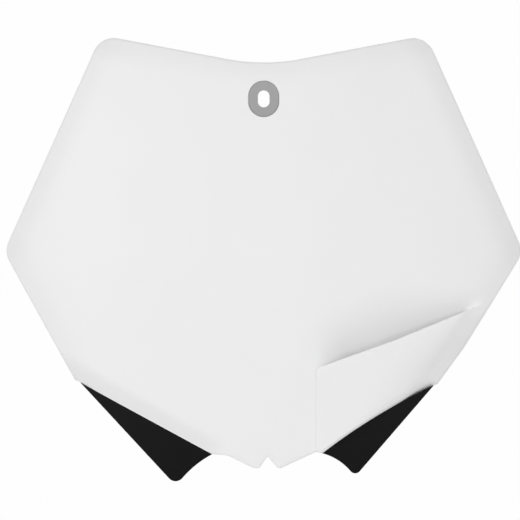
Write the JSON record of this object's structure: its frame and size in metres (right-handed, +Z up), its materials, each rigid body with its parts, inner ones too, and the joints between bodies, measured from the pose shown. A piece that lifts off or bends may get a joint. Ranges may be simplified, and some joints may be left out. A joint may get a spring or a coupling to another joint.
{
  "type": "racing number board",
  "caption": "Curved white shield with a rolled rim, screw slot, hose hollow and black lower corners; carries the race number at the front of an off-road motorbike.",
  "frame": {"origin": "middle of the screw slot, on the back face of the pad that bears on the motorbike", "axes": "+Z up, front faces -Y, +X to the right of someone who looks at the front"},
  "size_m": [0.29, 0.0533, 0.2497],
  "materials": {
    "white_plastic": "satin",
    "grey_plastic": "matte",
    "black_plastic": "satin"
  },
  "bodies": {
    "root": {"number_board": "white_plastic", "slot_washer": "grey_plastic", "left_corner": "black_plastic", "right_corner": "black_plastic"}
  },
  "joints": []
}
